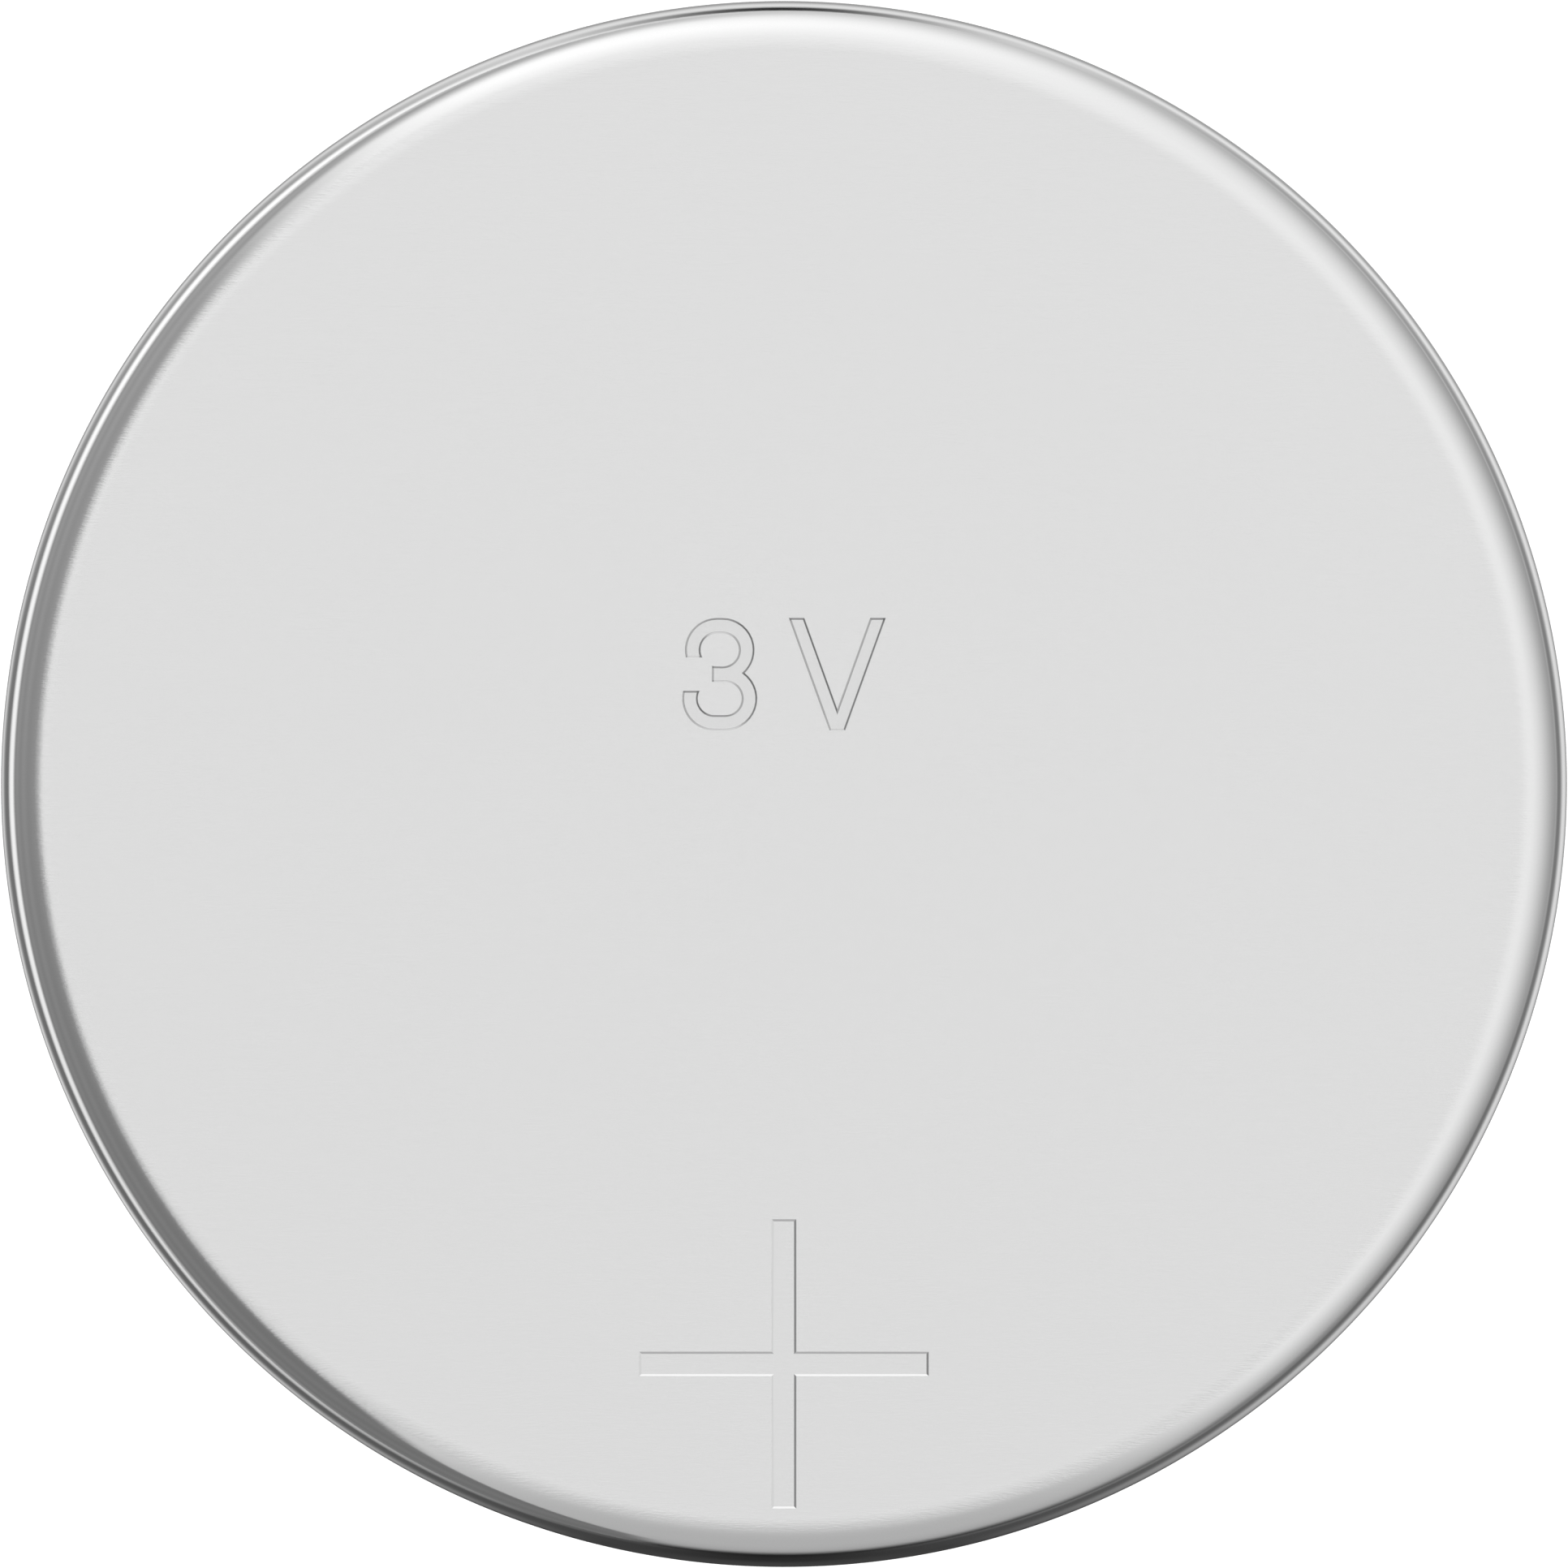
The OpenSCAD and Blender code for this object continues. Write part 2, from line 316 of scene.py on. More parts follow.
def brushed_grain_group():
    """Fine brushed lines along X of the given coordinates, in millimetres."""
    inputs = (
        ("Vector", "NodeSocketVector", None),
        ("Line Length", "NodeSocketFloat", 0.3),
        ("Line Width", "NodeSocketFloat", 0.01),
    )
    tree, given, out = node_group("brushed_grain", inputs, ("Height", "Streaks"))
    parts = node(tree, "ShaderNodeSeparateXYZ", {"Vector": given.outputs["Vector"]})
    fine = (0.0, 1.0, 1.0)
    coarse = (7.3, 3.1, 2.7)
    coarse_share = 0.4
    heights = []
    for seed, length, width in (fine, coarse):
        run = math_node(tree, "MULTIPLY", given.outputs["Line Length"], length)
        across = math_node(tree, "MULTIPLY", given.outputs["Line Width"], width)
        along = math_node(tree, "DIVIDE", parts.outputs["X"], run)
        over = math_node(tree, "DIVIDE", parts.outputs["Y"], across)
        place = node(tree, "ShaderNodeCombineXYZ", {"X": along, "Y": over, "Z": seed})
        lines = {"Vector": place.outputs[0], "Scale": 1.0, "Detail": 2.0, "Roughness": 0.6}
        heights.append(node(tree, "ShaderNodeTexNoise", lines).outputs["Fac"])
    tree.links.new(mix(tree, coarse_share, heights[0], heights[1]), out.inputs["Height"])
    tree.links.new(heights[1], out.inputs["Streaks"])
    return tree


def cloudy_tone_group():
    """Soft clouds and small flecks, both centred on zero, for slight changes of tone and polish."""
    inputs = (
        ("Vector", "NodeSocketVector", None),
        ("Cloud Size", "NodeSocketFloat", 1.0),
        ("Fleck Size", "NodeSocketFloat", 0.05),
    )
    tree, given, out = node_group("cloudy_tone", inputs, ("Clouds", "Flecks"))
    for label, size, detail in (("Clouds", "Cloud Size", 3.0), ("Flecks", "Fleck Size", 2.0)):
        scale = math_node(tree, "DIVIDE", 1.0, given.outputs[size])
        place = {"Vector": given.outputs["Vector"], "Scale": scale, "Detail": detail}
        noise = node(tree, "ShaderNodeTexNoise", place).outputs["Fac"]
        tree.links.new(math_node(tree, "SUBTRACT", noise, 0.5), out.inputs[label])
    return tree


def millimetres(tree):
    """The point on the piece, in millimetres."""
    place = node(tree, "ShaderNodeTexCoord").outputs["Object"]
    return node(tree, "ShaderNodeVectorMath", {0: place, "Scale": 1 / MM}, operation="SCALE").outputs[0]


def sheet_point(tree):
    """Where the point lay on the flat sheet before it was drawn, in millimetres."""
    uv = node(tree, "ShaderNodeUVMap", uv_map="sheet").outputs["UV"]
    parts = node(tree, "ShaderNodeSeparateXYZ", {"Vector": uv})
    turned = {"X": parts.outputs["Y"], "Y": parts.outputs["X"]}
    place = node(tree, "ShaderNodeCombineXYZ", turned).outputs[0]
    return node(tree, "ShaderNodeVectorMath", {0: place, "Scale": 1 / MM}, operation="SCALE").outputs[0]


def wall_point(tree):
    """A place on a turned wall, in millimetres: X runs up the wall and Y runs round it."""
    parts = node(tree, "ShaderNodeSeparateXYZ", {"Vector": millimetres(tree)})
    turn = math_node(tree, "ARCTAN2", parts.outputs["Y"], parts.outputs["X"])
    around = math_node(tree, "MULTIPLY", turn, cell_r / MM)
    return node(tree, "ShaderNodeCombineXYZ", {"X": parts.outputs["Z"], "Y": around}).outputs[0]


def drawn_steel(name, grain, clouds, tone, face_rough, edge_rough, wall_rough, anisotropy):
    """Brushed sheet steel: matt in its face, burnished at the edge round, and satin on its wall,
    with the fine upright lines that drawing leaves there."""
    made, tree, out = material(name)
    place = sheet_point(tree)
    lines = place_group(tree, grain, {"Vector": place, **BRUSH_LINES})
    drawing = place_group(tree, grain, {"Vector": wall_point(tree), **DRAWING_LINES})
    drawing = drawing.outputs["Height"]
    mottle = place_group(tree, clouds, {"Vector": place, **STEEL_CLOUDS})
    burnish = node(tree, "ShaderNodeAttribute", attribute_name="burnish").outputs["Fac"]
    wall = node(tree, "ShaderNodeAttribute", attribute_name="wall").outputs["Fac"]
    # A painted shade in the stamped marks, darker the deeper they go
    pressed = node(tree, "ShaderNodeAttribute", attribute_name="pressed").outputs["Fac"]

    streak = math_node(tree, "SUBTRACT", lines.outputs["Streaks"], 0.5)
    shade = tone
    for change, weight in (
        (mottle.outputs["Clouds"], CLOUD_SHADE),
        (mottle.outputs["Flecks"], FLECK_SHADE),
        (streak, STREAK_SHADE),
        (pressed, MARK_SHADE_WEIGHT),
    ):
        shade = swing(tree, change, by=weight, about=shade)
    colour = node(tree, "ShaderNodeCombineColor", {"Red": shade, "Green": shade, "Blue": shade}).outputs[0]

    line = math_node(tree, "SUBTRACT", lines.outputs["Height"], 0.5)
    turning = math_node(tree, "MULTIPLY", burnish, math_node(tree, "SUBTRACT", 1.0, burnish))
    line_polish = math_node(tree, "MULTIPLY", turning, line)
    polish = math_node(tree, "MULTIPLY_ADD", line_polish, BRUSH_POLISH, burnish)
    rough = mix(tree, polish, face_rough, edge_rough)
    drawn = math_node(tree, "SUBTRACT", drawing, 0.5)
    drawn = swing(tree, drawn, by=DRAWING_ROUGH, about=wall_rough)
    rough = mix(tree, wall, rough, drawn)
    rough = swing(tree, mottle.outputs["Clouds"], by=CLOUD_ROUGH, about=rough)

    rolled = mix(tree, burnish, ROLL_LINES, EDGE_LINES)
    depth = mix(tree, ease(tree, burnish, 0.0, ROLL_LINES_BURNISH), FACE_LINES, rolled)
    height = math_node(tree, "MULTIPLY", lines.outputs["Height"], depth)
    height = mix(tree, wall, height, drawing)
    tangent = node(tree, "ShaderNodeTangent", direction_type="UV_MAP", uv_map="sheet").outputs["Tangent"]
    steel = {
        "Base Color": colour,
        "Metallic": 1.0,
        "Roughness": rough,
        "Anisotropic": anisotropy,
        "Tangent": tangent,
    }
    add_shader(tree, out, steel, height, strength=1.0, depth=LINE_DEPTH)
    return made


def moulded_plastic(name, clouds):
    """Dark moulded polypropylene with a fine spark-eroded grain."""
    made, tree, out = material(name)
    place = millimetres(tree)
    mottle = place_group(tree, clouds, {"Vector": place, "Cloud Size": 0.8, "Fleck Size": 0.03})
    share = swing(tree, mottle.outputs["Clouds"], by=1.6, about=0.5)
    dark = (0.075, 0.075, 0.08, 1.0)
    light = (0.11, 0.11, 0.115, 1.0)
    plastic = {
        "Base Color": colour_mix(tree, share, dark, light),
        "Roughness": swing(tree, mottle.outputs["Flecks"], by=0.25, about=0.5),
        "IOR": 1.49,
    }
    add_shader(tree, out, plastic, mottle.outputs["Flecks"], strength=0.5, depth=0.004 * MM)
    return made


def rolled_metal(name, grain, clouds, dark, light, roughness, line_width):
    """Plain rolled metal with fine lines along X, for the pieces inside the cell."""
    made, tree, out = material(name)
    place = millimetres(tree)
    lines = place_group(tree, grain, {"Vector": place, "Line Length": 0.5, "Line Width": line_width})
    mottle = place_group(tree, clouds, {"Vector": place, "Cloud Size": 1.2, "Fleck Size": 0.04})
    share = swing(tree, mottle.outputs["Clouds"], by=2.0, about=0.5)
    metal = {
        "Base Color": colour_mix(tree, share, dark, light),
        "Metallic": 1.0,
        "Roughness": swing(tree, mottle.outputs["Flecks"], by=0.2, about=roughness),
    }
    add_shader(tree, out, metal, lines.outputs["Height"], strength=0.6, depth=0.002 * MM)
    return made


def pressed_powder(name, clouds):
    """Black compacted oxide and carbon powder, with grains that catch the light."""
    made, tree, out = material(name)
    place = millimetres(tree)
    mottle = place_group(tree, clouds, {"Vector": place, "Cloud Size": 0.6, "Fleck Size": 0.05})
    grains = node(tree, "ShaderNodeTexVoronoi", {"Vector": place, "Scale": 22.0}).outputs["Distance"]
    share = swing(tree, mottle.outputs["Flecks"], by=2.0, about=0.4)
    dark = (0.016, 0.016, 0.018, 1.0)
    light = (0.05, 0.05, 0.054, 1.0)
    powder = {
        "Base Color": colour_mix(tree, share, dark, light),
        "Roughness": swing(tree, mottle.outputs["Clouds"], by=0.3, about=0.78),
    }
    add_shader(tree, out, powder, grains, strength=0.6, depth=0.02 * MM)
    return made


def fibre_felt(name, grain, clouds):
    """White non-woven sheet: short fibres that lie across each other."""
    made, tree, out = material(name)
    place = millimetres(tree)
    heights = []
    for turn in (0.0, 60.0, 120.0):
        turned = node(tree, "ShaderNodeMapping", {"Vector": place, "Rotation": (0, 0, math.radians(turn))})
        fibres = {"Vector": turned.outputs[0], "Line Length": 0.4, "Line Width": 0.02}
        heights.append(place_group(tree, grain, fibres).outputs["Height"])
    top = math_node(tree, "MAXIMUM", math_node(tree, "MAXIMUM", heights[0], heights[1]), heights[2])
    mottle = place_group(tree, clouds, {"Vector": place, "Cloud Size": 0.7, "Fleck Size": 0.06})
    share = math_node(tree, "ADD", top, mottle.outputs["Clouds"])
    dark = (0.7, 0.7, 0.68, 1.0)
    light = (0.9, 0.9, 0.88, 1.0)
    felt = {
        "Base Color": colour_mix(tree, share, dark, light),
        "Roughness": swing(tree, mottle.outputs["Flecks"], by=0.2, about=0.85),
        "Sheen Weight": 0.3,
    }
    add_shader(tree, out, felt, top, strength=0.7, depth=0.01 * MM)
    return made


def arc(centre, radius, start, end, step=BEND_STEP):
    """Points on a circle from one angle in degrees to another, both ends included."""
    return even_arc(centre, radius, start, end, max(1, math.ceil(abs(end - start) / step)))


def even_arc(centre, radius, start, end, count):
    """The same, with a given count of steps."""
    points = []
    for i in range(count + 1):
        angle = math.radians(start + (end - start) * i / count)
        points.append((centre[0] + radius * math.cos(angle), centre[1] + radius * math.sin(angle)))
    return points


def turned_point(point, centre, angle):
    """A point of a section, turned about a centre by an angle in degrees."""
    across, up = point[0] - centre[0], point[1] - centre[1]
    cosine, sine = math.cos(math.radians(angle)), math.sin(math.radians(angle))
    return (centre[0] + across * cosine - up * sine, centre[1] + across * sine + up * cosine)


def straight(start, end, count):
    """Points between two ends, without the first."""
    points = []
    for i in range(1, count + 1):
        share = i / count
        points.append((start[0] + (end[0] - start[0]) * share, start[1] + (end[1] - start[1]) * share))
    return points


def face_roll():
    """The face's soft roll-over, from the flat out to the edge round, and that round's centre."""
    join_x = cell_r - CAN_EDGE_R * (1 - math.sin(math.radians(ROLL_ANGLE)))
    flat_r = join_x - ROLL_WIDTH
    drop = math.radians(ROLL_ANGLE) * ROLL_WIDTH / ROLL_POWER
    points = []
    for i in range(ROLL_STEPS + 1):
        share = i / ROLL_STEPS
        points.append((flat_r + ROLL_WIDTH * share, cell_h - drop * share**ROLL_POWER))
    centre = (cell_r - CAN_EDGE_R, cell_h - drop - CAN_EDGE_R * math.cos(math.radians(ROLL_ANGLE)))
    return points, centre


def can_profile():
    """The can's section, from its flat face round its wall and curl, and back inside to the axis.

    Returns the points, and for each its share of burnish and of wall finish."""
    roll, edge_centre = face_roll()
    curl_centre = (cell_r - CRIMP_R, crimp_z + CRIMP_R)
    inner_r = cell_r - SHEET_T
    points = [(point, ROLL_POLISH * i / ROLL_STEPS, 0.0) for i, point in enumerate(roll)]
    round_points = arc(edge_centre, CAN_EDGE_R, 90 - ROLL_ANGLE, 0, FINE_STEP)[1:]
    for i, point in enumerate(round_points):
        share = (i + 1) / len(round_points)
        polish = min(1.0, ROLL_POLISH + share * POLISH_RUN)
        wall_finish = (share - WALL_FINISH_START) / (1 - WALL_FINISH_START)
        points.append((point, polish, max(0.0, wall_finish)))
    wall_end = (cell_r, curl_centre[1])
    points += [(point, 1.0, 1.0) for point in straight(round_points[-1], wall_end, WALL_STEPS)]
    curl = arc(curl_centre, CRIMP_R, 0, -90 - LIP_DIP)[1:]
    points += [(point, 1.0, 1.0) for point in curl]
    lip_centre = turned_point(
        (curl_centre[0] - LIP_RUN, curl_centre[1] - CRIMP_R + SHEET_T / 2), curl_centre, -LIP_DIP
    )
    nose = arc(lip_centre, SHEET_T / 2, -90 - LIP_DIP, -270 - LIP_DIP, NOSE_STEP)
    points += [(point, 1.0, 1.0) for point in nose]
    inner_curl = arc(curl_centre, CRIMP_R - SHEET_T, -90 - LIP_DIP, 0)
    points += [(point, 1.0, 1.0) for point in inner_curl]
    corner = (inner_r - CAN_INNER_EDGE_R, can_floor_z - CAN_INNER_EDGE_R)
    points += [(point, 1.0, 1.0) for point in arc(corner, CAN_INNER_EDGE_R, 0, 90, CORNER_STEP)]
    points += [((0.0, can_floor_z), 1.0, 1.0)]
    return points


def numeral_outline(centre, inset):
    """The numeral 3 as one closed outline of arcs, moved inwards by the inset."""
    bowl_r = (RATING_H + RATING_STROKE) / 4
    bowl_y = RATING_H / 2 - bowl_r
    half = RATING_STROKE / 2
    outer = bowl_r - inset
    inner = bowl_r - RATING_STROKE + inset
    mouth_y = bowl_y - half + inset
    bar_x = inset - half
    # The upper bowl is less wide than the lower one
    low_x = BOWL_RUN / 2
    high_x = low_x / 2

    def rise(radius, height):
        """Angle on a circle at a height above its centre."""
        return math.degrees(math.asin(height / radius))

    mouth_rise = bowl_y - mouth_y
    # The outer bowls cross on the right. Each try brings their heights there closer together
    notch_x = 0.5 * (low_x + high_x)
    for _ in range(NOTCH_TRIES):
        high_y = bowl_y - math.sqrt(outer**2 - (notch_x - high_x) ** 2)
        low_y = math.sqrt(outer**2 - (notch_x - low_x) ** 2) - bowl_y
        notch_x += 0.5 * (low_y - high_y)
    notch_y = low_y
    high_end = math.degrees(math.atan2(notch_y - bowl_y, notch_x - high_x))
    low_start = math.degrees(math.atan2(notch_y + bowl_y, notch_x - low_x))
    bar_low = math.degrees(math.acos((bar_x + low_x) / inner))
    bar_high = math.degrees(math.acos((bar_x + high_x) / inner))
    # Counts of steps stay the same at every inset, so that the loops can be joined
    outer_end_steps, outer_bowl_steps = 11, 14
    inner_end_steps, inner_bowl_steps = 10, 16
    low_bar_steps, high_bar_steps = 1, 2
    outer_rise, inner_rise = rise(outer, mouth_rise), rise(inner, mouth_rise)
    outline = even_arc((-high_x, bowl_y), outer, 180 + outer_rise, 90, outer_end_steps)
    outline += even_arc((high_x, bowl_y), outer, 90, high_end, outer_bowl_steps)
    outline += even_arc((low_x, -bowl_y), outer, low_start, -90, outer_bowl_steps)[1:]
    outline += even_arc((-low_x, -bowl_y), outer, 270, 180 - outer_rise, outer_end_steps)
    outline += even_arc((-low_x, -bowl_y), inner, 180 - inner_rise, 270, inner_end_steps)
    outline += even_arc((low_x, -bowl_y), inner, -90, 90, inner_bowl_steps)
    outline += even_arc((-low_x, -bowl_y), inner, 90, bar_low, low_bar_steps)[1:]
    outline += even_arc((-high_x, bowl_y), inner, 360 - bar_high, 270, high_bar_steps)[:-1]
    outline += even_arc((high_x, bowl_y), inner, -90, 90, inner_bowl_steps)
    outline += even_arc((-high_x, bowl_y), inner, 90, 180 + inner_rise, inner_end_steps)
    return [(x + centre[0], y + centre[1]) for x, y in reversed(outline)]


def plus_outline(centre, inset):
    """The plus sign as one closed outline, moved inwards by the inset."""
    long = PLUS_SPAN / 2 - inset
    short = PLUS_STROKE / 2 - inset
    quarter = [(long, -short), (long, short), (short, short)]
    outline = []
    for turns in range(4):
        outline += [turned_point(point, (0, 0), 90 * turns) for point in quarter]
    return [(x + centre[0], y + centre[1]) for x, y in outline]


def unit_outline(centre, inset):
    """The unit letter V as one closed outline, with every edge moved inwards by the inset."""
    half_w, half_h = UNIT_W / 2, RATING_H / 2
    foot = RATING_STROKE / 2
    inner_run = half_w - RATING_STROKE
    notch_y = half_h - RATING_H * inner_run / (half_w - foot)
    outline = [
        Vector((-half_w, half_h)),
        Vector((-foot, -half_h)),
        Vector((foot, -half_h)),
        Vector((half_w, half_h)),
        Vector((inner_run, half_h)),
        Vector((0, notch_y)),
        Vector((-inner_run, half_h)),
    ]
    moved = []
    for i, here in enumerate(outline):
        before = (here - outline[i - 1]).normalized()
        after = (outline[(i + 1) % len(outline)] - here).normalized()
        first = Vector((-before.y, before.x))
        second = Vector((-after.y, after.x))
        moved.append(here + (first + second) * inset / (1 + first.dot(second)))
    return [(point.x + centre[0], point.y + centre[1]) for point in moved]


def face_marks():
    """Each mark's outline function, its middle on the face, its depth and the run of its walls."""
    plus_y = PLUS_EDGE_GAP + PLUS_SPAN / 2 - cell_r
    bowl_r = (RATING_H + RATING_STROKE) / 4
    numeral_w = 2 * bowl_r + BOWL_RUN
    rating_w = numeral_w + RATING_SPACE + UNIT_W
    numeral_x = numeral_w / 2 - rating_w / 2
    unit_x = rating_w / 2 - UNIT_W / 2
    return (
        (plus_outline, (0.0, plus_y), PLUS_DEPTH, PLUS_WALL_RUN),
        (numeral_outline, (numeral_x, RATING_Y), RATING_DEPTH, RATING_WALL_RUN),
        (unit_outline, (unit_x, RATING_Y), RATING_DEPTH, RATING_WALL_RUN),
    )


def sharp_corners(points, closed=True):
    """The numbers of the points where a line of points takes a sharp turn."""
    count = len(points)
    found = []
    for i in range(count):
        if not closed and i in (0, count - 1):
            continue
        before, here, after = (Vector(points[j % count]) for j in (i - 1, i, i + 1))
        if (here - before).angle(after - here, 0.0) > math.radians(SHARP_TURN):
            found.append(i)
    return found


class Shell:
    """A mesh in the making: its points, faces, sheet places, finish shares, painted shade and sharp edges.
    """

    def __init__(self):
        self.points = []
        self.faces = []
        self.sheet = []
        self.burnish = []
        self.wall = []
        self.pressed = []
        self.sharp = set()

    def add(self, point, sheet, burnish, wall, pressed=0.0):
        """Adds one point and returns its number."""
        self.points.append(point)
        self.sheet.append(sheet)
        self.burnish.append(burnish)
        self.wall.append(wall)
        self.pressed.append(pressed)
        return len(self.points) - 1

    def ring(self, radius, height, reach, burnish, wall):
        """A ring of points. Reach is how far the ring lies from the middle of the flat sheet."""
        numbers = []
        for i in range(TURN_STEPS):
            angle = math.tau * i / TURN_STEPS
            cosine, sine = math.cos(angle), math.sin(angle)
            point = (radius * cosine, radius * sine, height)
            numbers.append(self.add(point, (reach * cosine, reach * sine), burnish, wall))
        return numbers

    def band(self, first, second):
        """A band of four-sided faces between two loops of equally many points."""
        count = len(first)
        for i in range(count):
            after = (i + 1) % count
            self.faces.append((first[i], second[i], second[after], first[after]))

    def fill(self, loops, upward=True):
        """Fills a flat area inside the first loop and outside the others."""
        outlines = [[Vector(self.points[i]) for i in loop] for loop in loops]
        numbers = [i for loop in loops for i in loop]
        for triangle in tessellate_polygon(outlines):
            corners = [numbers[i] for i in triangle]
            a, b, c = (Vector(self.points[i]) for i in corners)
            faces_up = (b - a).cross(c - a).z > 0
            self.faces.append(tuple(corners if faces_up == upward else reversed(corners)))

    def crease(self, loop):
        """Marks a closed loop of edges as sharp."""
        for i, number in enumerate(loop):
            self.sharp.add(frozenset((number, loop[i - 1])))

    def piece(self, name):
        """Makes the Blender object, smooth but for its creases."""
        mesh = bpy.data.meshes.new(name)
        mesh.from_pydata(self.points, [], self.faces)
        mesh.update(calc_edges=True)
        mesh.shade_smooth()
        sharp = mesh.attributes.new("sharp_edge", "BOOLEAN", "EDGE")
        flags = [frozenset(edge.vertices) in self.sharp for edge in mesh.edges]
        sharp.data.foreach_set("value", flags)
        layer = mesh.uv_layers.new(name="sheet")
        for loop in mesh.loops:
            across, up = self.sheet[loop.vertex_index]
            # U runs across the brushed lines, which sets the direction that blurs the gloss
            layer.data[loop.index].uv = (up, across)
        for label, values in (("burnish", self.burnish), ("wall", self.wall), ("pressed", self.pressed)):
            attribute = mesh.attributes.new(label, "FLOAT", "POINT")
            attribute.data.foreach_set("value", values)
        made = bpy.data.objects.new(name, mesh)
        bpy.context.scene.collection.objects.link(made)
        return made


def turn_profile(shell, profile, start_reach):
    """Turns a profile that ends on the axis. Returns the first ring."""
    reach = start_reach
    previous = None
    first = None
    last_point = profile[0][0]
    for point, burnish, wall in profile:
        reach += math.dist(point, last_point)
        last_point = point
        if point[0] == 0.0:
            tip = shell.add((0.0, 0.0, point[1]), (0.0, reach), burnish, wall)
            for i in range(TURN_STEPS):
                shell.faces.append((previous[i], tip, previous[(i + 1) % TURN_STEPS]))
            break
        ring = shell.ring(point[0], point[1], reach, burnish, wall)
        if previous is None:
            first = ring
        else:
            shell.band(previous, ring)
        previous = ring
    return first


def stamp(shell, outline_of, centre, full_depth, run):
    """Cuts one mark into the face. Its walls round off softly at both ends, are most polished halfway
    down, and darken with a painted shade that grows with depth. Returns the loop of its upper edge."""
    loops = []
    for step in range(MARK_WALL_STEPS + 1):
        share = step / MARK_WALL_STEPS
        height = cell_h - full_depth * share * share * (3 - 2 * share)
        polish = 2 * share * (1 - share)
        # The painted shade of the mark grows with its depth
        pressed = share * full_depth / RATING_DEPTH
        outline = outline_of(centre, run * share)
        loops.append([shell.add((x, y, height), (x, y), polish, 0.0, pressed) for x, y in outline])
    corners = sharp_corners(outline_of(centre, 0.0))
    for upper, lower in zip(loops, loops[1:]):
        shell.band(lower, upper)
        for i in corners:
            shell.sharp.add(frozenset((upper[i], lower[i])))
    shell.fill([loops[-1]])
    shell.crease(loops[0])
    shell.crease(loops[-1])
    return loops[0]


def can_shell():
    """The drawn can, with its stamped face."""
    shell = Shell()
    profile = can_profile()
    face_ring = turn_profile(shell, profile, profile[0][0][0])
    marks = [stamp(shell, *mark) for mark in face_marks()]
    shell.fill([face_ring] + marks)
    return shell.piece("can_shell")


def gasket_profile():
    """The gasket's section, from its foot on the can's floor down its bore and back up its wall."""
    curl_centre = (cell_r - CRIMP_R, crimp_z + CRIMP_R)
    skirt_bend = (skirt_r - SKIRT_BEND_R, shoulder_inner_z - SHEET_T + SKIRT_BEND_R)
    shoulder_z = shoulder_inner_z - SHEET_T
    lip_r = skirt_r - SHEET_T - FIT_GAP
    bore_r = lip_r - GASKET_LIP_T
    lip_z = skirt_end_z - GASKET_LIP_H
    room_r = SKIRT_BEND_R + FIT_GAP
    low_angle = -math.degrees(math.asin(SKIRT_BEND_R / room_r))
    free_r = skirt_r - SHOULDER_W + CAP_BEND_R
    free_centre = (free_r + GASKET_ROUND, gasket_free_z + GASKET_ROUND)
    curl_r = CRIMP_R - SHEET_T - FIT_GAP
    reach = LIP_RUN + SHEET_T / 2 + FIT_GAP
    room_corner = turned_point((curl_centre[0] - reach, curl_centre[1] - curl_r), curl_centre, -LIP_DIP)
    room_foot_r = room_corner[0] - (room_corner[1] - gasket_free_z) * math.tan(math.radians(LIP_DIP))
    top_centre = (gasket_r - GASKET_ROUND, can_floor_z - GASKET_ROUND)
    points = [(bore_r, can_floor_z), (bore_r, lip_z), (lip_r, lip_z), (lip_r, skirt_end_z)]
    points += [(skirt_r + FIT_GAP, skirt_end_z)]
    points += arc(skirt_bend, room_r, 0, low_angle)
    points += [(free_r, shoulder_z)]
    points += arc(free_centre, GASKET_ROUND, 180, 270, FOOT_STEP)
    points += [(room_foot_r, gasket_free_z), room_corner]
    points += arc(curl_centre, curl_r, -90 - LIP_DIP, 0)
    points += arc(top_centre, GASKET_ROUND, 0, 90, CORNER_STEP)
    return points


def cap_profile():
    """The cap's section, from the middle of its contact face round its skirt and back inside."""
    shoulder_z = shoulder_inner_z - SHEET_T
    wall_r = skirt_r - SHOULDER_W
    edge_centre = (wall_r - CAP_EDGE_R, CAP_EDGE_R)
    bend_centre = (wall_r + CAP_BEND_R, shoulder_z - CAP_BEND_R)
    skirt_centre = (skirt_r - SKIRT_BEND_R, shoulder_z + SKIRT_BEND_R)
    inner_edge_r = CAP_EDGE_R - SHEET_T
    inner_skirt_r = SKIRT_BEND_R - SHEET_T
    points = [(0.0, 0.0)]
    points += straight((0.0, 0.0), (edge_centre[0], 0.0), CONTACT_STEPS)
    points += arc(edge_centre, CAP_EDGE_R, -90, 0, FINE_STEP)[1:]
    points += arc(bend_centre, CAP_BEND_R, 180, 90)
    points += arc(skirt_centre, SKIRT_BEND_R, -90, 0)
    points += [(skirt_r, skirt_end_z), (skirt_r - SHEET_T, skirt_end_z)]
    points += arc(skirt_centre, inner_skirt_r, 0, -90)
    points += arc(bend_centre, CAP_BEND_R + SHEET_T, 90, 180)
    points += arc(edge_centre, inner_edge_r, 0, -90)
    points += [(0.0, SHEET_T)]
    return points


def seal_ring():
    """The moulded gasket, a closed ring turned from its section."""
    shell = Shell()
    profile = gasket_profile()
    rings = []
    reach = 0.0
    for i, point in enumerate(profile):
        reach += math.dist(point, profile[max(0, i - 1)])
        rings.append(shell.ring(point[0], point[1], profile[0][0] + reach, 0.0, 0.0))
    for i, ring in enumerate(rings):
        shell.band(ring, rings[i - 1])
    for i in sharp_corners(profile):
        shell.crease(rings[i])
    return shell.piece("seal_ring")


